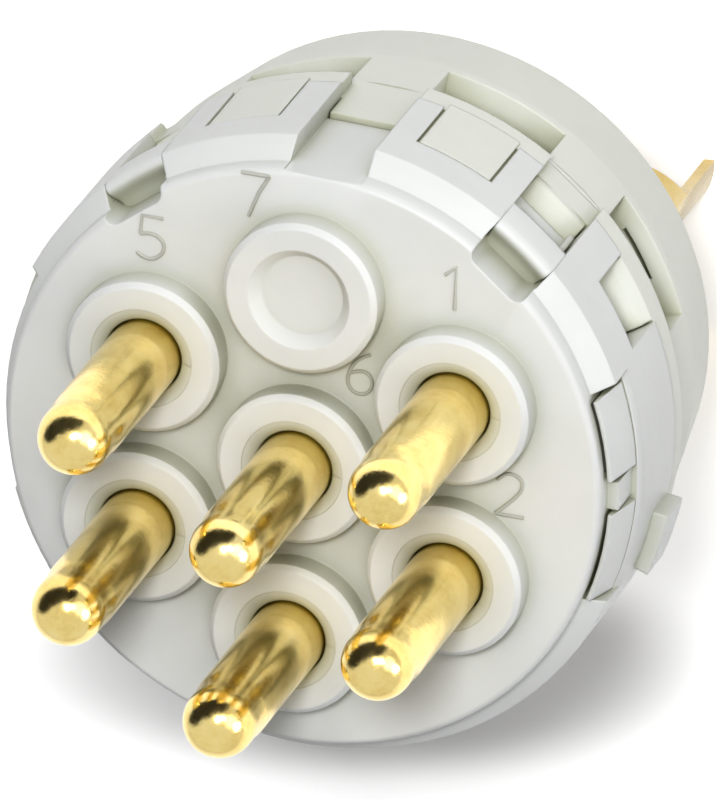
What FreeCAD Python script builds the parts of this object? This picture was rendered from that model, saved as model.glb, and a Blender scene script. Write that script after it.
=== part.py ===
import math
import os

import FreeCAD
import Part
import Sketcher

os.makedirs("parts", exist_ok=True)
doc = FreeCAD.newDocument("contact_insert")
V = FreeCAD.Vector
CON = Sketcher.Constraint

# Driving sizes in millimetres
SIZES = {
    "face_height": 16.6,
    "skirt_radius": 8.65,
    "rim_step": 0.55,
    "disc_wall": 0.6,
    "rim_depth": 1.0,
    "skirt_wall": 0.85,
    "skirt_depth": 4.66,
    "plate_depth": 3.0,
    "pitch_inset": 3.8,
    "boss_radius": 2.1,
    "boss_height": 0.8,
    "boss_round": 0.14,
    "face_round": 0.22,
    "mouth_flare": 0.28,
    "mouth_depth": 0.35,
    "hole_play": 0.1,
    "pin_radius": 1.0,
    "neck_inset": 0.28,
    "neck_height": 0.5,
    "neck_run": 0.2,
    "pin_length": 7.0,
    "tip_inset": 0.06,
    "shoulder_depth": 1.6,
    "shoulder_step": 0.85,
    "shoulder_play": 0.06,
    "stem_step": 0.4,
    "stem_play": 0.05,
    "cup_flange": 0.2,
    "cup_wall": 0.3,
    "cup_bore_depth": 4.6,
    "cup_open_length": 3.4,
    "cup_step": 0.5,
    "cup_lip": 0.12,
    "wall_play": 0.05,
    "rear_depth": 10.75,
    "rear_round": 0.25,
    "rear_taper": 0.42,
    "core_step": 0.45,
    "core_lean": 0.08,
    "bar_drop": 0.07,
    "bar_depth": 5.58,
    "pocket_sink": 0.5,
    "pocket_depth": 7.6,
    "slit_width": 0.12,
    "notch_width": 2.1,
    "notch_sink": 0.65,
    "notch_depth": 3.6,
    "column_sink": 0.5,
    "slot_width": 1.9,
    "lug_width": 1.78,
    "lug_top": 0.6,
    "lug_base": 2.2,
    "lug_thick": 0.4,
    "channel_sink": 0.6,
    "ramp_top": 3.65,
    "ramp_depth": 4.5,
    "band_drop": 0.35,
    "band_depth": 5.9,
    "window_depth": 2.32,
    "open_window_depth": 2.78,
    "open_floor_drop": 0.35,
    "open_ramp_top": 3.9,
    "tongue_drop": 0.03,
    "tongue_gap": 0.08,
    "arm_gap": 0.1,
    "arm_top": 0.38,
    "arm_depth": 1.7,
    "arm_floor": 2.1,
    "key_rise": 0.4,
    "key_top": 3.4,
    "flat_drop": 0.27,
    "flat_depth": 2.3,
    "edge": 0.1,
    "lap": 0.3,
    "overrun": 0.5,
}
sheet = doc.addObject("Spreadsheet::Sheet", "Sizes")
for row, (key, value) in enumerate(SIZES.items(), 1):
    sheet.set("A%d" % row, key)
    sheet.set("B%d" % row, str(value))
    sheet.setAlias("B%d" % row, key)
doc.recompute()


class Size:
    # A length that carries its sheet expression and its starting value
    def __init__(self, text, value):
        self.text, self.value = text, value

    def __add__(self, other):
        return Size("(%s + %s)" % (self.text, text(other)), self.value + number(other))

    def __sub__(self, other):
        return Size("(%s - %s)" % (self.text, text(other)), self.value - number(other))

    def __mul__(self, other):
        return Size("(%s * %s)" % (self.text, text(other)), self.value * number(other))


def number(x):
    return x.value if isinstance(x, Size) else float(x)


def text(x):
    return x.text if isinstance(x, Size) else "(%.7f)" % x


class Named:
    pass


S = Named()
for key in SIZES:
    setattr(S, key, Size("Sizes." + key, SIZES[key]))
FACE = S.face_height
S.disc_radius = S.skirt_radius - S.rim_step
S.skirt_bore = S.skirt_radius - S.skirt_wall
S.neck_radius = S.skirt_bore - S.wall_play
S.bar_radius = S.skirt_radius - S.bar_drop
S.core_radius = S.skirt_radius - S.core_step
S.waist_radius = S.core_radius - S.core_lean
S.rear_radius = S.waist_radius - S.rear_taper
S.pocket_floor = S.neck_radius - S.pocket_sink
S.notch_floor = S.skirt_radius - S.notch_sink
S.column_radius = S.skirt_radius - S.column_sink
S.channel_floor = S.skirt_radius - S.channel_sink
S.band_radius = S.skirt_radius - S.band_drop
S.tongue_radius = S.skirt_radius - S.tongue_drop
S.arm_inner = S.disc_radius + S.arm_gap
S.key_radius = S.skirt_radius + S.key_rise
S.flat_radius = S.skirt_radius - S.flat_drop
S.pitch_radius = S.skirt_radius - S.pitch_inset
S.neck = S.pin_radius - S.neck_inset
S.hole_radius = S.pin_radius + S.hole_play
S.tip_radius = S.pin_radius - S.tip_inset
S.shoulder_radius = S.pin_radius + S.shoulder_step
S.stem_radius = S.pin_radius + S.stem_step
S.cup_radius = S.stem_radius + S.cup_flange
S.cup_bore = S.cup_radius - S.cup_wall
WIDE = S.key_radius + S.overrun


def level(depth):
    # Height of a level given as a depth behind the face
    return FACE - depth


def bind(obj, prop, value):
    if isinstance(value, Size):
        obj.setExpression(prop, value.text)
        return
    if "." in prop:
        return
    setattr(obj, prop, value)


# Shape helpers
def place(obj, x, y, z, turn=0.0):
    base = V(number(x), number(y), number(z))
    obj.Placement = FreeCAD.Placement(base, FreeCAD.Rotation(V(0, 0, 1), turn))
    bind(obj, "Placement.Base.x", x)
    bind(obj, "Placement.Base.y", y)
    bind(obj, "Placement.Base.z", z)


def sector(name, radius, top, bottom, start=0.0, width=None, x=0.0, y=0.0):
    c = doc.addObject("Part::Cylinder", name)
    bind(c, "Radius", radius)
    bind(c, "Height", top - bottom)
    if width is not None:
        c.Angle = width
    place(c, x, y, bottom, start)
    return c


def cone(name, low, high, top, bottom, x=0.0, y=0.0):
    c = doc.addObject("Part::Cone", name)
    bind(c, "Radius1", low)
    bind(c, "Radius2", high)
    bind(c, "Height", top - bottom)
    place(c, x, y, bottom)
    return c


def block(name, inner, outer, width, top, bottom, azimuth, shift=0.0):
    # Block reaching outwards at an azimuth, square to the radius
    b = doc.addObject("Part::Box", name)
    bind(b, "Length", outer - inner)
    bind(b, "Width", width)
    bind(b, "Height", top - bottom)
    ca, sa = math.cos(math.radians(azimuth)), math.sin(math.radians(azimuth))
    half = width * 0.5 - width * shift
    place(b, inner * ca + half * sa, inner * sa - half * ca, bottom, azimuth)
    return b


def cut(name, base, tool):
    c = doc.addObject("Part::Cut", name)
    c.Base, c.Tool = base, tool
    return c


def join(name, shapes):
    f = doc.addObject("Part::MultiFuse", name)
    f.Shapes = shapes
    return f


def ring(name, inner, outer, top, bottom, start, width):
    # Arc-shaped bar between two radii
    out = sector(name + "_out", outer, top, bottom, start, width)
    core = sector(name + "_in", inner, top + S.overrun, bottom - S.overrun)
    return cut(name, out, core)


def turned_sector(name, points, top, bottom, start, width):
    # Stretch of a turned profile between two azimuths
    c = doc.addObject("Part::Common", name)
    c.Base = turned_body(name + "_full", points)
    c.Tool = sector(name + "_wedge", WIDE, top, bottom, start, width)
    return c


def rounded(radius, height, size, rising=True):
    # Points that round an outer corner of a turned profile in three facets
    out = []
    for angle in (78.75, 56.25, 33.75, 11.25):
        a, k = math.radians(angle), 1 / math.cos(math.radians(11.25))
        rise = size * (k * math.sin(a) - 1)
        out.append((radius - size * (1 - k * math.cos(a)), height + rise if rising else height - rise))
    return out


def turned_body(name, points):
    # Turned body from a closed profile of radius and height pairs
    body = doc.addObject("PartDesign::Body", name)
    plane = [o for o in body.Origin.OriginFeatures if o.Role == "XZ_Plane"][0]
    axis = [o for o in body.Origin.OriginFeatures if o.Role == "Z_Axis"][0]
    sk = body.newObject("Sketcher::SketchObject", name + "_profile")
    sk.AttachmentSupport = (plane, "")
    sk.MapMode = "FlatFace"
    pts = [V(number(r), number(z), 0) for r, z in points]
    n = len(pts)
    for i in range(n):
        sk.addGeometry(Part.LineSegment(pts[i], pts[(i + 1) % n]), False)
    for i in range(n):
        sk.addConstraint(CON("Coincident", i, 2, (i + 1) % n, 1))
    for i, (r, z) in enumerate(points):
        for kind, wall, value in (("DistanceX", -2, r), ("DistanceY", -1, z)):
            if number(value) == 0:
                sk.addConstraint(CON("PointOnObject", i, 1, wall))
                continue
            c = sk.addConstraint(CON(kind, -1, 1, i, 1, number(value)))
            sk.setExpression("Constraints[%d]" % c, value.text)
    rev = body.newObject("PartDesign::Revolution", name + "_turned")
    rev.Profile = sk
    rev.ReferenceAxis = (axis, [""])
    rev.Angle = 360
    body.Tip = rev
    return body


# Contact positions around the face by azimuth; the sixth is the centre
PLACES = {"1": 30, "2": -30, "3": -90, "4": -150, "5": 150, "6": None, "7": 90}
# Windows in the skirt: azimuth where each starts and its width
WINDOWS = [(61.7, 14.8), (101.3, 14.2), (206.5, 13.0), (263.0, 13.0), (309.0, 13.0)]
OPEN_WINDOW = (23.0, 13.3)
POCKETS = [(57.0, 24.6), (96.6, 24.4), (16.5, 25.0)]
SLIT = (24.5, 11.5)
LUG_SLOTS = [50.2, 127.5, 230.5]
NOTCH = 88.3
OPENING = 150.0


def spot(number_at):
    # Centre of a contact position
    az = PLACES[number_at]
    if az is None:
        return 0.0, 0.0
    x, y = math.cos(math.radians(az)), math.sin(math.radians(az))
    return (S.pitch_radius * x if abs(x) > 1e-9 else 0.0,
            S.pitch_radius * y if abs(y) > 1e-9 else 0.0)


# Front insulator: face disc and bosses
def make_bosses():
    posts, holes = [], []
    top = FACE + S.boss_height
    for who in PLACES:
        x, y = spot(who)
        post = turned_body("boss_" + who, [(0.0, level(S.lap)), (S.boss_radius, level(S.lap)),
                                      (S.boss_radius, top - S.boss_round),
                                      (S.boss_radius - S.boss_round, top), (0.0, top)])
        place(post, x, y, 0.0)
        posts.append(post)
        holes.append(cone("mouth_" + who, S.hole_radius, S.hole_radius + S.mouth_flare,
                          top, top - S.mouth_depth, x, y))
        if who == "7":
            continue
        deep = level(S.plate_depth + S.overrun)
        holes.append(sector("hole_" + who, S.hole_radius, top, deep, x=x, y=y))
        holes.append(sector("seat_" + who, S.shoulder_radius + S.shoulder_play,
                            level(S.shoulder_depth), deep, x=x, y=y))
    return posts, holes


# Latch arms lying in a shallow pocket of the rim, and the side keys
def arm(name, drop, start, width):
    inner, out = S.arm_inner, S.skirt_radius
    return turned_sector(name, [
        (inner, level(S.arm_top + drop)), (inner + S.edge, level(S.arm_top + drop)),
        (out - S.edge, level(S.arm_depth - S.edge)), (out - S.edge, level(S.arm_depth)),
        (out - S.lap, level(S.arm_depth)), (out - S.lap, level(S.arm_floor + S.lap)),
        (inner, level(S.arm_floor + S.lap))],
        FACE + S.overrun, level(S.arm_floor + S.overrun), start, width)


def arm_pocket(name, start, width):
    above = FACE + S.overrun
    return turned_sector(name, [
        (S.disc_radius, above), (S.disc_radius, level(S.arm_depth + S.edge)),
        (S.skirt_radius - S.edge, level(S.arm_depth + S.edge)), (S.skirt_radius, level(S.arm_floor)),
        (WIDE, level(S.arm_floor)), (WIDE, above)],
        above + S.overrun, level(S.arm_floor + S.overrun), start, width)


def make_arms():
    zero = S.edge * 0.0
    arms = [arm("arm_upper", zero, 4.6, 15.6), arm("arm_lower", S.edge, -20.0, 17.8),
            arm("arm_left", S.edge, 197.5, 16.0),
            ring("arm_spacer", S.disc_radius - S.edge, S.disc_radius + S.lap,
                 level(S.arm_top + S.lap), level(S.arm_floor + S.lap), -1.6, 5.4),
            ring("side_key", S.skirt_radius - S.lap, S.key_radius,
                 level(S.key_top), level(S.skirt_depth), -21.0, 11.5),
            ring("far_key", S.skirt_radius - S.lap, S.key_radius,
                 level(S.key_top), level(S.skirt_depth), 189.5, 11.5)]
    gaps = [arm_pocket("arm_pocket", -20.8, 42.0), arm_pocket("left_pocket", 197.0, 17.0)]
    return arms, gaps


def make_front():
    disc = turned_body("front_core", [
        (0.0, level(S.plate_depth)), (S.skirt_bore, level(S.plate_depth)),
        (S.skirt_bore, level(S.skirt_depth)), (S.skirt_radius, level(S.skirt_depth)),
        (S.skirt_radius, level(S.rim_depth + S.edge)), (S.skirt_radius - S.edge, level(S.rim_depth)),
        (S.disc_radius, level(S.disc_wall))]
        + rounded(S.disc_radius, FACE, S.face_round)[::-1] + [(0.0, FACE)])
    posts, holes = make_bosses()
    arms, gaps = make_arms()
    above, past = FACE + S.overrun, level(S.skirt_depth + S.overrun)
    cuts = [
        ring("left_flat", S.flat_radius, WIDE, above, level(S.flat_depth), 155.5, 41.5),
        block("notch_upper", S.notch_floor, WIDE, S.notch_width, above, level(S.notch_depth), NOTCH),
        block("notch_lower", S.skirt_bore - S.overrun, WIDE, S.notch_width,
              level(S.notch_depth), past, NOTCH)]
    lugs = []
    for k, az in enumerate(LUG_SLOTS):
        cuts.append(block("slot_front_%d" % k, S.disc_radius, WIDE, S.slot_width,
                          above, level(S.lug_base - S.overrun), az))
        cuts.append(block("slot_channel_%d" % k, S.channel_floor, WIDE, S.slot_width,
                          level(S.lug_base), past, az))
        cuts.append(block("slot_port_%d" % k, S.skirt_bore - S.overrun, WIDE, S.slot_width,
                          level(S.ramp_top), past, az))
        lug = turned_sector("lug_profile_%d" % k, [
            (S.skirt_radius - S.lug_thick, level(S.lug_top)),
            (S.skirt_radius - S.lug_thick + S.edge, level(S.lug_top - S.edge * 0.5)),
            (S.skirt_radius - S.edge, level(S.rim_depth + S.edge)), (S.skirt_radius, level(S.rim_depth + S.lap)),
            (S.skirt_radius, level(S.lug_base - S.lap)), (S.skirt_radius - S.edge, level(S.lug_base)),
            (S.skirt_radius - S.lug_thick, level(S.lug_base))],
            FACE, level(S.lug_base + S.overrun), az - 12, 24)
        side = doc.addObject("Part::Common", "lug_%d" % k)
        side.Base = lug
        side.Tool = block("lug_width_%d" % k, S.disc_radius - S.overrun, WIDE, S.lug_width,
                          FACE, level(S.lug_base + S.overrun), az)
        lugs.append(side)
        lugs.append(block("lug_root_%d" % k, S.disc_radius - S.lap, S.skirt_radius - S.lug_thick + S.edge,
                          S.lug_width, level(S.lug_base - S.overrun), level(S.lug_base + S.edge), az))
        lugs.append(block("rib_a_%d" % k, S.channel_floor - S.edge, S.band_radius, S.edge * 1.5,
                          level(S.lug_base), level(S.ramp_top), az, -5.4))
    for k, (start, width) in enumerate(WINDOWS):
        cuts.append(ring("window_%d" % k, S.skirt_bore - S.overrun, WIDE,
                         level(S.window_depth), past, start, width))
    cuts.append(ring("open_window", S.skirt_bore - S.overrun, WIDE,
                     level(S.open_window_depth), past, *OPEN_WINDOW))
    first = cut("front_gapped", disc, join("front_gaps", gaps))
    body = join("front_with_arms", [first] + posts + arms)
    carved = cut("front_carved", body, join("front_cuts", cuts + holes))
    return join("front_insulator", [carved] + lugs)


# Rear insulator: tapered core, bar ring, pockets behind the bars
def make_rear():
    end, foot = level(S.rear_depth), level(S.bar_depth)
    core = turned_body("rear_core", [(0.0, end), (S.rear_radius - S.rear_round, end),
        (S.rear_radius, end + S.rear_round), (S.waist_radius, level(S.pocket_depth + S.lap)),
        (S.core_radius, foot), (S.bar_radius - S.edge, foot), (S.bar_radius, foot + S.edge),
        (S.bar_radius, level(S.skirt_depth)), (S.neck_radius, level(S.skirt_depth)),
        (S.neck_radius, level(S.plate_depth)), (0.0, level(S.plate_depth))])
    adds, cuts = [core], []
    inside = S.neck_radius - S.lap
    for k, (start, width) in enumerate(WINDOWS):
        adds.append(ring("tongue_%d" % k, inside, S.tongue_radius,
                         level(S.window_depth + S.tongue_gap), level(S.skirt_depth + S.lap),
                         start + 0.5, width - 1.0))
    rim = level(S.pocket_depth)
    for k, (start, width) in enumerate(POCKETS):
        cuts.append(ring("pocket_%d" % k, S.pocket_floor, WIDE, foot, rim, start, width))
    cuts.append(ring("slit", inside + S.edge * 0.5, inside + S.edge * 0.5 + S.slit_width,
                     rim + S.edge, rim - S.overrun, *SLIT))
    # Columns in the notch and the lug slots
    adds.append(block("column_a", inside, S.column_radius, S.notch_width - S.wall_play * 2,
                      level(S.notch_depth + S.tongue_gap), level(S.bar_depth + S.lap), NOTCH))
    cuts.append(block("column_front", S.column_radius, WIDE, S.notch_width,
                      level(S.plate_depth), foot - S.lap, NOTCH))
    for k, az in enumerate(LUG_SLOTS):
        ramp = turned_sector("ramp_full_%d" % k, [
            (inside, level(S.ramp_top + S.wall_play)), (S.neck_radius, level(S.ramp_top + S.wall_play)),
            (S.band_radius, level(S.ramp_depth)), (S.band_radius, level(S.skirt_depth + S.lap)),
            (S.band_radius - S.edge * 0.6, level(S.skirt_depth + S.lap + S.edge * 0.5)),
            (S.band_radius - S.edge * 0.6, level(S.band_depth)), (inside, level(S.band_depth))],
            level(S.plate_depth), level(S.band_depth + S.overrun), az - 12, 24)
        part = doc.addObject("Part::Common", "ramp_%d" % k)
        part.Base = ramp
        part.Tool = block("ramp_width_%d" % k, inside - S.lap, WIDE, S.slot_width - S.wall_play * 2,
                          level(S.plate_depth), level(S.band_depth + S.overrun), az)
        adds.append(part)
        cuts.append(block("band_%d" % k, S.band_radius, WIDE, S.slot_width,
                          level(S.plate_depth), foot - S.lap, az))
    # Ramp of the bar in the open window
    adds.append(turned_sector("open_ramp", [
        (inside, level(S.open_ramp_top)), (S.neck_radius - S.open_floor_drop, level(S.open_ramp_top)),
        (S.neck_radius, level(S.open_ramp_top + S.edge)), (S.bar_radius - S.edge * 2, level(S.skirt_depth - S.lap)),
        (S.bar_radius, level(S.skirt_depth)), (S.bar_radius - S.edge, level(S.skirt_depth + S.overrun)),
        (inside, level(S.skirt_depth + S.overrun))],
        level(S.plate_depth), level(S.skirt_depth + S.overrun * 2), OPEN_WINDOW[0] + 0.4, OPEN_WINDOW[1] - 0.8))
    solid = join("rear_solid", adds)
    cuts.append(ring("open_floor", S.neck_radius - S.open_floor_drop, WIDE, level(S.open_window_depth),
                     level(S.open_ramp_top), *OPEN_WINDOW))
    for who in PLACES:
        if who != "7":
            x, y = spot(who)
            cuts.append(sector("stem_hole_" + who, S.stem_radius + S.stem_play,
                               level(S.plate_depth - S.overrun), level(S.rear_depth + S.overrun), x=x, y=y))
    return cut("rear_insulator", solid, join("rear_cuts", cuts))


# Contact: domed pin, relieved neck inside the hole, clamped shoulder, stem and cut-away solder cup
def make_contact(who):
    x, y = spot(who)
    dome = FACE + S.pin_length - S.tip_radius
    neck = level(S.rear_depth + S.cup_step)
    turned = turned_body("turned_" + who, [
        (0.0, S.cup_bore_depth), (S.cup_bore, S.cup_bore_depth), (S.cup_bore, 0.0), (S.cup_radius, 0.0),
        (S.cup_radius, neck), (S.stem_radius, neck),
        (S.stem_radius, level(S.plate_depth)), (S.shoulder_radius, level(S.plate_depth)),
        (S.shoulder_radius, level(S.shoulder_depth)), (S.neck, level(S.shoulder_depth)),
        (S.neck, FACE + S.neck_height), (S.pin_radius, FACE + S.neck_height + S.neck_run),
        (S.pin_radius, dome - S.tip_radius)] + [
        (S.tip_radius * math.cos(math.radians(a)), dome + S.tip_radius * math.sin(math.radians(a)))
        for a in (0, 28, 56)] + [(0.0, dome + S.tip_radius)])
    opening = block("opening_" + who, S.cup_lip, S.cup_radius + S.overrun,
                    S.cup_radius * 2 + S.overrun, S.cup_open_length, S.overrun * -1.0, OPENING)
    piece = cut("contact_" + who, turned, opening)
    place(piece, x, y, 0.0)
    return piece


made = [make_front(), make_rear()]
for who in PLACES:
    if who != "7":
        made.append(make_contact(who))
doc.recompute()

for obj in doc.Objects:
    if "Invalid" in obj.State or "Error" in obj.State:
        raise RuntimeError("failed object " + obj.Name + " " + str(obj.State))
for obj in made:
    obj.Label = obj.Name
    shape = obj.Shape
    if shape.isNull() or not shape.isValid():
        raise RuntimeError("bad shape " + obj.Name)
    print(obj.Name, "solids", len(shape.Solids), "volume %.2f" % shape.Volume, "faces", len(shape.Faces))
    if len(shape.Solids) != 1:
        raise RuntimeError("not one solid " + obj.Name)
    shape.exportStep("parts/" + obj.Name + ".step")
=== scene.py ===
import math

import bmesh
import bpy
from mathutils import Matrix, Vector


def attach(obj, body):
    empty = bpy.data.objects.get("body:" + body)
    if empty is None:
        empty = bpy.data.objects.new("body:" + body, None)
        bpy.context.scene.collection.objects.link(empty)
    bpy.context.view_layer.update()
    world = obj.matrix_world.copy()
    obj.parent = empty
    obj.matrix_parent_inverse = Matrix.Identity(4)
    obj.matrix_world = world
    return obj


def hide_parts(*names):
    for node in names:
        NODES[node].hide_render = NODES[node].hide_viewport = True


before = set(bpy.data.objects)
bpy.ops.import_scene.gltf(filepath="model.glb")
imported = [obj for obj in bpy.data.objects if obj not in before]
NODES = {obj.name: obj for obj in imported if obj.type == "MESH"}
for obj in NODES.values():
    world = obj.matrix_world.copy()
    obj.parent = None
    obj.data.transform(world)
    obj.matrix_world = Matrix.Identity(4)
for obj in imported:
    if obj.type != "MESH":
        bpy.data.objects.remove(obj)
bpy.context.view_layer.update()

# Sizes of the insert, in mm
MM = 0.001
FACE = 16.6
PIN_CIRCLE = 4.85
# Contact positions round the face by azimuth; the sixth is the centre
PLACES = (("1", 30), ("2", -30), ("3", -90), ("4", -150), ("5", 150), ("6", None))

# Camera: pixels per mm, and the offset in pixels from the centre of the face to the middle of the picture
SCALE = 38.7
ASIDE, ABOVE = 62.0, 65.3
PICTURE_HEIGHT = 799
SENSOR = 36.0
LENS = 1200.0

# Light levels
FLOOR_GLOW = 0.46
FLOOR_BOUNCE = 0.32
WORLD = 0.14
STUDIO = (0.85, 0.85, 0.85, 1)
PANEL = (0.03, 0.03, 0.03, 1)


# Objects, directions and places
def add_object(name, data):
    obj = bpy.data.objects.new(name, data)
    bpy.context.scene.collection.objects.link(obj)
    return obj


def add_mesh(name, verts, faces):
    mesh = bpy.data.meshes.new(name)
    mesh.from_pydata(verts, [], faces)
    return add_object(name, mesh)


def toward(azimuth, height=0.0):
    a, e = math.radians(azimuth), math.radians(height)
    return Vector((math.cos(a) * math.cos(e), math.sin(a) * math.cos(e), math.sin(e)))


def place_of(azimuth):
    if azimuth is None:
        return 0.0, 0.0
    return PIN_CIRCLE * math.cos(math.radians(azimuth)), PIN_CIRCLE * math.sin(math.radians(azimuth))


# Camera: long lens, looking down on the pins, rolled as the photograph is
def make_camera():
    right = Vector((0.948, 0.037, -0.317)).normalized()
    up = Vector((-0.1655, 0.9065, -0.388))
    back = right.cross(up).normalized()
    up = back.cross(right).normalized()
    distance = LENS * PICTURE_HEIGHT / SENSOR / SCALE * MM
    aim = Vector((0, 0, FACE + 0.4)) * MM + (right * (ASIDE / SCALE) + up * (ABOVE / SCALE)) * MM
    data = bpy.data.cameras.new("camera")
    data.sensor_width = SENSOR
    data.lens = LENS
    data.clip_start = 0.01
    data.clip_end = 20.0
    cam = add_object("camera", data)
    turn = Matrix((right, up, back)).transposed().to_4x4()
    cam.matrix_world = Matrix.Translation(aim + back * distance) @ turn
    bpy.context.scene.camera = cam


# Shader nodes: a keyword sets the attribute of that name, or else the input
class Nodes:
    def __init__(self, owner):
        owner.use_nodes = True
        self.owner = owner
        self.tree = owner.node_tree
        self.bsdf = self.tree.nodes.get("Principled BSDF")

    def add(self, kind, **values):
        node = self.tree.nodes.new(kind)
        for key, value in values.items():
            if hasattr(node, key):
                setattr(node, key, value)
            else:
                node.inputs[key.replace("_", " ")].default_value = value
        return node

    def link(self, a, out, b, into):
        self.tree.links.new(a.outputs[out], b.inputs[into])

    def ramp(self, source, out, stops):
        r = self.add("ShaderNodeValToRGB")
        while len(r.color_ramp.elements) < len(stops):
            r.color_ramp.elements.new(0.5)
        for e, (pos, colour) in zip(r.color_ramp.elements, stops):
            e.position = pos
            e.color = tuple(colour) + (1.0,)
        self.link(source, out, r, "Fac")
        return r

    def noise(self, coord, out, **values):
        node = self.add("ShaderNodeTexNoise", **values)
        self.link(coord, out, node, "Vector")
        return node

    def bump(self, height, normal, strength, distance):
        node = self.add("ShaderNodeBump", Strength=strength, Distance=distance)
        self.link(height, "Fac", node, "Height")
        if normal:
            self.link(normal, "Normal", node, "Normal")
        return node

    def base_product(self, one, other):
        # The product of two ramps is the base colour
        both = self.add("ShaderNodeMix", data_type="RGBA", blend_type="MULTIPLY")
        both.inputs[0].default_value = 1.0
        self.link(one, "Color", both, 6)
        self.link(other, "Color", both, 7)
        self.link(both, 2, self.bsdf, "Base Color")


def plastic(name, low, high, rough=0.42):
    # Moulded plastic: softened edges, faint flow clouding, fine grain, satin gloss
    n = Nodes(bpy.data.materials.new(name))
    coord = n.add("ShaderNodeTexCoord")
    cloud = n.noise(coord, "Object", Scale=260.0, Detail=5.0, Roughness=0.55)
    tone = n.ramp(cloud, "Fac", [(0.3, low), (0.7, high)])
    # Painted shade: creases and slots get a darker, warmer base colour, the more hidden a point is
    hollow = n.add("ShaderNodeAmbientOcclusion", samples=8, Distance=0.0013)
    crease_shade = n.ramp(hollow, "AO", [(0.0, (0.30, 0.30, 0.17)),
                                   (0.52, (0.70, 0.70, 0.60)),
                                   (0.92, (1.0, 1.0, 1.0))])
    n.base_product(tone, crease_shade)
    grain = n.noise(coord, "Object", Scale=5200.0, Detail=3.0, Roughness=0.6)
    shine = n.ramp(grain, "Fac", [(0.25, (rough - 0.06,) * 3), (0.75, (rough + 0.08,) * 3)])
    n.link(shine, "Color", n.bsdf, "Roughness")
    edge = n.add("ShaderNodeBevel", samples=8, Radius=0.00008)
    fine = n.bump(grain, edge, 0.14, 0.00002)
    wave = n.noise(coord, "Object", Scale=700.0, Detail=2.0)
    soft = n.bump(wave, fine, 0.14, 0.00006)
    n.link(soft, "Normal", n.bsdf, "Normal")
    n.bsdf.inputs["IOR"].default_value = 1.5
    n.bsdf.inputs["Specular IOR Level"].default_value = 0.4
    n.bsdf.inputs["Subsurface Weight"].default_value = 0.1
    n.bsdf.inputs["Subsurface Radius"].default_value = (0.0005, 0.00045, 0.0003)
    n.bsdf.inputs["Subsurface Scale"].default_value = 1.0
    return n.owner


def gold(name):
    # Plated contact: drawn streaks along the pin, mottled duller patches, sandy grain
    n = Nodes(bpy.data.materials.new(name))
    coord = n.add("ShaderNodeTexCoord")
    stretch = n.add("ShaderNodeMapping", Scale=(1.0, 1.0, 0.1))
    n.link(coord, "Object", stretch, "Vector")
    streak = n.noise(stretch, "Vector", Scale=2400.0, Detail=5.0, Roughness=0.65)
    patch = n.noise(coord, "Object", Scale=900.0, Detail=5.0, Roughness=0.7)
    tone = n.ramp(patch, "Fac", [(0.3, (0.77, 0.56, 0.17)),
                                 (0.52, (0.91, 0.71, 0.26)),
                                 (0.72, (0.95, 0.78, 0.35))])
    # Painted shade: below the shoulder the base colour is darker, so the solder cups come out darker than the
    # pins
    parts = n.add("ShaderNodeSeparateXYZ")
    n.link(coord, "Object", parts, "Vector")
    level = n.add("ShaderNodeMapRange", From_Min=0.005, From_Max=0.0056)
    n.link(parts, "Z", level, "Value")
    darker = n.ramp(level, "Result", [(0.0, (0.55, 0.52, 0.46)), (1.0, (1.0, 1.0, 1.0))])
    n.base_product(tone, darker)
    shine = n.ramp(streak, "Fac", [(0.3, (0.10,) * 3), (0.75, (0.24,) * 3)])
    n.link(shine, "Color", n.bsdf, "Roughness")
    drawn = n.bump(streak, None, 0.25, 0.00003)
    pits = n.bump(patch, drawn, 0.12, 0.00003)
    speck = n.noise(coord, "Object", Scale=9000.0, Detail=3.0, Roughness=0.6)
    sand = n.bump(speck, pits, 0.4, 0.00001)
    n.link(sand, "Normal", n.bsdf, "Normal")
    n.bsdf.inputs["Metallic"].default_value = 1.0
    return n.owner


def dress(node, mat):
    obj = NODES[node]
    if not obj.material_slots:
        obj.data.materials.append(mat)
    for s in obj.material_slots:
        s.material = mat


make_camera()
FRONT = plastic("front_plastic", (0.688, 0.700, 0.690), (0.733, 0.745, 0.735))
REAR = plastic("rear_plastic", (0.712, 0.725, 0.665), (0.757, 0.770, 0.710), 0.45)
# The numeral strokes are a darker grey than the face: painted shade of the moulded relief
NUMERAL_SHADE = plastic("numeral_plastic", (0.46, 0.46, 0.42), (0.52, 0.52, 0.48), 0.5)
# Darker olive plastic for the false groove floors: painted shade of the deep gaps
GROOVE_SHADE = plastic("crease_plastic", (0.50, 0.495, 0.40), (0.56, 0.55, 0.46), 0.6)
# Near-black plastic: painted shadow, for a sheet set in a deep gap
SHADE = plastic("painted_gap_shadow", (0.03, 0.03, 0.025), (0.04, 0.04, 0.03), 0.7)
GOLD = gold("contact_gold")
dress("front_insulator", FRONT)
dress("rear_insulator", REAR)
for who, azimuth in PLACES:
    dress("contact_" + who, GOLD)


# Mesh helpers
def smooth(mesh, angle):
    for f in mesh.polygons:
        f.use_smooth = True
    mesh.set_sharp_from_angle(angle=math.radians(angle))


def cut(obj, cutters, mat):
    # Takes the cutters out of the object for good, and leaves it with one material
    for cutter in cutters:
        mod = obj.modifiers.new("cut", "BOOLEAN")
        mod.operation = "DIFFERENCE"
        mod.solver = "EXACT"
        mod.object = cutter
    bpy.context.view_layer.update()
    done = bpy.data.meshes.new_from_object(obj.evaluated_get(bpy.context.evaluated_depsgraph_get()))
    obj.modifiers.clear()
    obj.data = done
    for cutter in cutters:
        bpy.data.objects.remove(cutter)
    done.materials.clear()
    done.materials.append(mat)
    for f in done.polygons:
        f.material_index = 0


def prism(name, outlines):
    # Closed block between two outlines with the same number of corners
    n = len(outlines[0])
    faces = [tuple(reversed(range(n))), tuple(range(n, 2 * n))]
    faces += [(i, (i + 1) % n, (i + 1) % n + n, i + n) for i in range(n)]
    return add_mesh(name, outlines[0] + outlines[1], faces)


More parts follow.
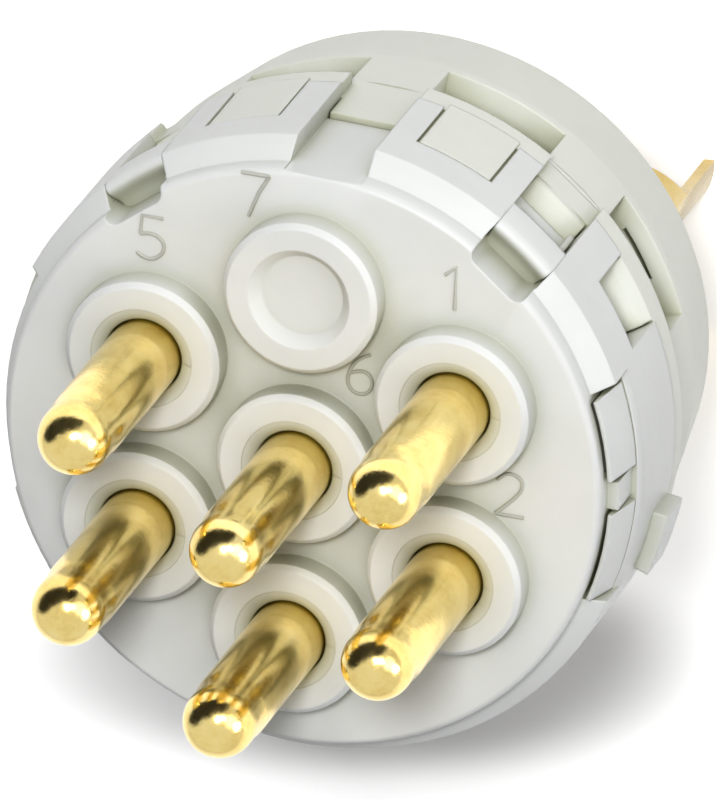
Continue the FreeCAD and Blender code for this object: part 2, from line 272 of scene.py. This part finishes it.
# Contacts as smooth turned pieces: ball tip, plain pin, shoulder, stem and cut-away cup.
# The outline of the cut gives the distance from the axis towards the opening, and the height.
CONTACT_TURNS = 72
CUP_AZIMUTH = 95
CUP_CUT = ((0.02, -0.6), (0.02, 2.3), (0.1, 2.5), (0.3, 2.72), (1.3, 3.6), (2.4, 4.4), (2.4, -0.6))
CUP_CUT_HALF = 2.2


def turned_profile():
    neck, dome = 0.965, 22.66
    pts = [(0.0, 4.6), (1.12, 4.6), (1.3, 4.5), (1.3, 0.06), (1.33, 0.0), (1.57, 0.0), (1.6, 0.05),
           (1.6, 5.29), (1.54, 5.35), (1.4, 5.35), (1.4, 13.6), (1.85, 13.6), (1.85, 15.0), (1.0, 15.0),
           (1.0, 21.72), (0.985, 21.9), (0.955, 22.2), (neck, 22.45)]
    for k in range(13):
        a = math.radians(2 + k * 6.9)
        pts.append((neck * math.cos(a), dome - 0.02 + 0.955 * math.sin(a)))
    pts.append((0.0, 23.595))
    return pts


def turned_mesh(name, x, y):
    bm = bmesh.new()
    rows = []
    for r, z in turned_profile():
        if r == 0.0:
            rows.append([bm.verts.new((x * MM, y * MM, z * MM))])
            continue
        rows.append([bm.verts.new(((x + r * math.cos(2 * math.pi * i / CONTACT_TURNS)) * MM,
                                   (y + r * math.sin(2 * math.pi * i / CONTACT_TURNS)) * MM, z * MM))
                     for i in range(CONTACT_TURNS)])
    for low, high in zip(rows, rows[1:]):
        for i in range(CONTACT_TURNS):
            j = (i + 1) % CONTACT_TURNS
            if len(low) == 1:
                bm.faces.new((low[0], high[i], high[j]))
            elif len(high) == 1:
                bm.faces.new((low[i], low[j], high[0]))
            else:
                bm.faces.new((low[i], low[j], high[j], high[i]))
    bmesh.ops.recalc_face_normals(bm, faces=bm.faces)
    mesh = bpy.data.meshes.new(name)
    bm.to_mesh(mesh)
    bm.free()
    return mesh


def contact(who, x, y):
    obj = add_object("pin_" + who, turned_mesh("pin_" + who, x, y))
    # The cup is opened by a plane along it, with a slanted step above
    out = toward(CUP_AZIMUTH)
    side = Vector((-out.y, out.x, 0))
    cutter = prism("cutter", [[(Vector((x, y, z)) + out * u + side * v) * MM for u, z in CUP_CUT]
                              for v in (-CUP_CUT_HALF, CUP_CUT_HALF)])
    cut(obj, [cutter], GOLD)
    smooth(obj.data, 35)
    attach(obj, "root")
    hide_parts("contact_" + who)


for who, azimuth in PLACES:
    contact(who, *place_of(azimuth))


# Fine detail that the solids leave plain
def shell(name, points, start, width, mat, steps=24, x=0.0, y=0.0):
    # Closed stretch of a turned profile between two azimuths
    verts, faces = [], []
    n = len(points)
    for i in range(steps + 1):
        a = math.radians(start + width * i / steps)
        for r, z in points:
            verts.append(((x + r * math.cos(a)) * MM, (y + r * math.sin(a)) * MM, z * MM))
    for i in range(steps):
        for j in range(n):
            k = (j + 1) % n
            faces.append((i * n + j, i * n + k, (i + 1) * n + k, (i + 1) * n + j))
    faces.append(tuple(reversed(range(n))))
    faces.append(tuple(steps * n + j for j in range(n)))
    obj = add_mesh(name, verts, faces)
    obj.data.materials.append(mat)
    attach(obj, "root")
    return obj


# Groove floors a little below the outer surface, seen only in the fine gaps beside each tongue,
# by the start and the width of the tongue's window
# These floors are painted shade: a shallow olive floor stands in for the dark depth of each gap
TONGUES = ((61.7, 14.8), (101.3, 14.2), (206.5, 13.0), (263.0, 13.0), (309.0, 13.0))
GROOVE = [(8.36, 11.98), (8.53, 11.98), (8.53, 14.34), (8.36, 14.34)]
GROOVE_SIDE = 0.4
for k, (start, width) in enumerate(TONGUES):
    shell("groove_%d" % k, GROOVE, start - GROOVE_SIDE, width + 2 * GROOVE_SIDE, GROOVE_SHADE)

# Lug recesses: a pocket bites into the edge of the face, with a saddle-shaped block across it
LUGS = (50.2, 127.5)
POCKET_INNER, POCKET_OUTER, POCKET_HALF, POCKET_CORNER = 7.72, 9.2, 0.93, 0.32
POCKET_LEVELS = (15.28, 17.4)


def pocket_cutter(azimuth):
    # Upright block with rounded inner corners
    flat = [(POCKET_OUTER, -POCKET_HALF), (POCKET_OUTER, POCKET_HALF)]
    for first, side in ((90, 1), (180, -1)):
        for k in range(7):
            a = math.radians(first + k * 15)
            flat.append((POCKET_INNER + POCKET_CORNER + POCKET_CORNER * math.cos(a),
                         side * (POCKET_HALF - POCKET_CORNER) + POCKET_CORNER * math.sin(a)))
    ca, sa = math.cos(math.radians(azimuth)), math.sin(math.radians(azimuth))
    return prism("cutter", [[((u * ca - v * sa) * MM, (u * sa + v * ca) * MM, z * MM) for u, v in flat]
                            for z in POCKET_LEVELS])


def carve_front():
    # A copy of the front insulator with its points joined, the pockets cut and its shading evened
    node = NODES["front_insulator"]
    bm = bmesh.new()
    bm.from_mesh(node.data)
    bmesh.ops.remove_doubles(bm, verts=bm.verts, dist=1e-7)
    mesh = bpy.data.meshes.new("front_shell")
    bm.to_mesh(mesh)
    bm.free()
    for layer in [a for a in mesh.attributes if a.name == "custom_normal"]:
        mesh.attributes.remove(layer)
    obj = add_object("front_shell", mesh)
    obj.matrix_world = node.matrix_world.copy()
    cut(obj, [pocket_cutter(azimuth) for azimuth in LUGS], FRONT)
    smooth(obj.data, 30)
    mod = obj.modifiers.new("even", "WEIGHTED_NORMAL")
    mod.keep_sharp = True
    mod.weight = 100
    mod.thresh = 0.01
    bpy.context.view_layer.update()
    deps = bpy.context.evaluated_depsgraph_get()
    even = bpy.data.meshes.new_from_object(obj.evaluated_get(deps), preserve_all_data_layers=True, depsgraph=deps)
    obj.modifiers.clear()
    obj.data = even
    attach(obj, "root")
    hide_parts("front_insulator")


# Shallow seat round the root of each pin
SEAT = [(1.41, 17.39), (1.38, 17.392), (1.09, 17.24), (1.045, 17.2), (1.035, 17.14), (1.035, 16.8), (1.41, 16.8)]
for who, azimuth in PLACES:
    px, py = place_of(azimuth)
    seat = shell("seat_" + who, SEAT, 0, 360, FRONT, 72, px, py)
    smooth(seat.data, 50)

# Near-black sheet inside the upper latch arm: painted shadow of the deep gap there
ARM_GAP = [(8.08, 15.2), (8.24, 15.2), (8.24, 16.17), (8.08, 16.17)]
shell("arm_gap", ARM_GAP, 6.5, 13.4, SHADE)

carve_front()

LUG_BLOCK = [(7.60, 14.45), (8.66, 14.45), (8.66, 15.38), (8.62, 15.52), (8.55, 15.60), (8.46, 15.64),
             (8.36, 15.62), (8.26, 15.55), (8.15, 15.46), (8.03, 15.38), (7.90, 15.34), (7.60, 15.33)]
LUG_WIDTH = 12.6
for k, azimuth in enumerate(LUGS):
    block = shell("lug_block_%d" % k, LUG_BLOCK, azimuth - LUG_WIDTH / 2, LUG_WIDTH, FRONT, 10)
    smooth(block.data, 50)

# Contact-position numerals as fine raised strokes on the face, in parts of their height
STROKES = {
    "1": [[(0.2, 0.78), (0.45, 1.0), (0.45, 0.0)]],
    "2": [[(0.08, 0.8), (0.2, 0.96), (0.42, 1.0), (0.62, 0.9), (0.66, 0.7), (0.52, 0.45), (0.06, 0.0)],
          [(0.06, 0.0), (0.7, 0.0)]],
    "5": [[(0.6, 1.0), (0.12, 1.0), (0.1, 0.56)],
          [(0.1, 0.56), (0.34, 0.64), (0.62, 0.5), (0.66, 0.24), (0.46, 0.02), (0.22, 0.0), (0.04, 0.12)]],
    "6": [[(0.58, 0.98), (0.3, 0.86), (0.1, 0.5), (0.08, 0.22), (0.24, 0.02), (0.5, 0.02), (0.66, 0.22),
           (0.62, 0.48), (0.4, 0.6), (0.14, 0.48)]],
    "7": [[(0.04, 1.0), (0.68, 1.0)], [(0.68, 1.0), (0.46, 0.6), (0.24, 0.0)]],
}
NUMERAL_HEIGHT = 1.2
NUMERAL_SINK = 0.012
STROKE_RADIUS = 0.055
# Centres measured in the photograph, on the face plane
NUMERALS = (("5", -4.3, 5.5), ("7", -1.56, 7.2), ("1", 3.85, 5.55), ("6", 1.48, 2.7), ("2", 5.65, 0.02))


def numeral(digit, x, y):
    data = bpy.data.curves.new("numeral_" + digit, "CURVE")
    data.dimensions = "3D"
    data.bevel_depth = STROKE_RADIUS * MM
    data.bevel_resolution = 2
    data.resolution_u = 10
    for stroke in STROKES[digit]:
        sp = data.splines.new("NURBS" if len(stroke) > 3 else "POLY")
        sp.points.add(len(stroke) - 1)
        for p, (u, v) in zip(sp.points, stroke):
            p.co = ((u - 0.35) * NUMERAL_HEIGHT * MM, (v - 0.5) * NUMERAL_HEIGHT * MM, 0.0, 1.0)
        if sp.type == "NURBS":
            sp.order_u = 3
            sp.use_endpoint_u = True
        sp.use_smooth = True
    obj = add_object("numeral_" + digit, data)
    obj.matrix_world = Matrix.Translation(Vector((x, y, FACE - NUMERAL_SINK)) * MM)
    data.materials.append(NUMERAL_SHADE)
    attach(obj, "root")


for digit, x, y in NUMERALS:
    numeral(digit, x, y)


# Floor, studio and lamps
def make_floor():
    half = 1.2
    floor = add_mesh("floor", [(-half, -half, 0), (half, -half, 0), (half, half, 0), (-half, half, 0)],
                     [(0, 1, 2, 3)])
    n = Nodes(bpy.data.materials.new("floor_paper"))
    coord = n.add("ShaderNodeTexCoord")
    fibre = n.noise(coord, "Object", Scale=900.0, Detail=3.0)
    # Seen directly or in a reflection the paper is white; it bounces less light at the sides
    seen = n.ramp(fibre, "Fac", [(0.3, (0.97, 0.97, 0.97)), (0.7, (0.98, 0.98, 0.98))])
    path = n.add("ShaderNodeLightPath")
    either = n.add("ShaderNodeMath", operation="MAXIMUM")
    n.link(path, "Is Camera Ray", either, 0)
    n.link(path, "Is Glossy Ray", either, 1)
    any_ray = n.add("ShaderNodeMath", operation="MAXIMUM")
    n.link(either, "Value", any_ray, 0)
    n.link(path, "Is Transmission Ray", any_ray, 1)
    white = n.add("ShaderNodeBsdfDiffuse")
    n.link(seen, "Color", white, "Color")
    # Painted light: the paper glows outside an oval on the shaded side of the object, and only faintly inside it,
    # so the shadow stays dark only within the oval
    oval = n.add("ShaderNodeMapping", vector_type="TEXTURE", Location=(-0.0035, -0.0138, 0.0),
                 Rotation=(0.0, 0.0, math.radians(10.3)), Scale=(3.0, 1.0, 1.0))
    n.link(coord, "Object", oval, "Vector")
    away = n.add("ShaderNodeVectorMath", operation="LENGTH")
    n.link(oval, "Vector", away, 0)
    level = n.add("ShaderNodeMapRange", interpolation_type="SMOOTHSTEP",
                  From_Min=0.0023, From_Max=0.0038, To_Min=0.05, To_Max=FLOOR_GLOW)
    n.link(away, "Value", level, "Value")
    glow = n.add("ShaderNodeEmission")
    n.link(level, "Result", glow, "Strength")
    both = n.add("ShaderNodeAddShader")
    n.link(white, "BSDF", both, 0)
    n.link(glow, "Emission", both, 1)
    darker = n.add("ShaderNodeBsdfDiffuse", Color=(FLOOR_BOUNCE, FLOOR_BOUNCE, FLOOR_BOUNCE * 0.97, 1))
    pick = n.add("ShaderNodeMixShader")
    n.link(any_ray, "Value", pick, "Fac")
    n.link(darker, "BSDF", pick, 1)
    n.link(both, "Shader", pick, 2)
    n.link(pick, "Shader", n.tree.nodes["Material Output"], "Surface")
    floor.data.materials.append(n.owner)


def make_studio():
    world = bpy.data.worlds.new("studio")
    bpy.context.scene.world = world
    n = Nodes(world)
    back = n.tree.nodes["Background"]
    back.inputs["Color"].default_value = (1, 1, 1, 1)
    back.inputs["Strength"].default_value = WORLD
    where = n.add("ShaderNodeTexCoord")

    def panel(azimuth, height, **values):
        # Fades in as a direction nears the middle of the panel
        dot = n.add("ShaderNodeVectorMath", operation="DOT_PRODUCT")
        dot.inputs[1].default_value = toward(azimuth, height)
        n.link(where, "Generated", dot, 0)
        fade = n.add("ShaderNodeMapRange", **values)
        n.link(dot, "Value", fade, "Value")
        return fade

    # Metal sees a bright studio with a wide dark panel behind it, made of three that overlap
    dark = None
    for azimuth, height, size in ((98, 12, 0.82), (128, 16, 0.80), (158, 12, 0.82)):
        one = panel(azimuth, height, From_Min=size - 0.05, From_Max=size + 0.04)
        if dark is None:
            dark = one
            continue
        more = n.add("ShaderNodeMath", operation="MAXIMUM")
        n.link(dark, 0, more, 0)
        n.link(one, "Result", more, 1)
        dark = more
    tone = n.add("ShaderNodeValToRGB")
    tone.color_ramp.elements[0].color = STUDIO
    tone.color_ramp.elements[1].color = PANEL
    n.link(dark, 0, tone, "Fac")
    # and one bright panel to the right
    gleam = panel(25, 33, From_Min=0.93, From_Max=0.97, To_Min=1.0, To_Max=3.2)
    studio = n.add("ShaderNodeBackground")
    n.link(gleam, "Result", studio, "Strength")
    n.link(tone, "Color", studio, "Color")
    ray = n.add("ShaderNodeLightPath")
    mix = n.add("ShaderNodeMixShader")
    n.link(ray, "Is Glossy Ray", mix, 0)
    n.link(back, 0, mix, 1)
    n.link(studio, 0, mix, 2)
    n.link(mix, 0, n.tree.nodes["World Output"], "Surface")


LAMP_DISTANCE = 0.35
# Name, azimuth, height, size, power, and whether metal and gloss show it
LAMPS = (("key", 70, 60, 0.07, 0.77, True),
         ("right", 0, 20, 0.16, 0.35, True),
         ("top", 100, 14, 0.16, 0.34, False),
         ("front", 50, 50, 0.10, 0.17, True))


def lamp(name, azimuth, height, size, power, mirrored):
    data = bpy.data.lights.new(name, "AREA")
    data.shape = "DISK"
    data.size = size
    data.energy = power
    obj = add_object(name, data)
    way = toward(azimuth, height)
    turn = way.to_track_quat("Z", "Y").to_matrix().to_4x4()
    obj.matrix_world = Matrix.Translation(way * LAMP_DISTANCE + Vector((0, 0, 0.01))) @ turn
    obj.visible_glossy = mirrored


make_floor()
make_studio()
for row in LAMPS:
    lamp(*row)

bpy.context.scene.view_settings.view_transform = "Standard"
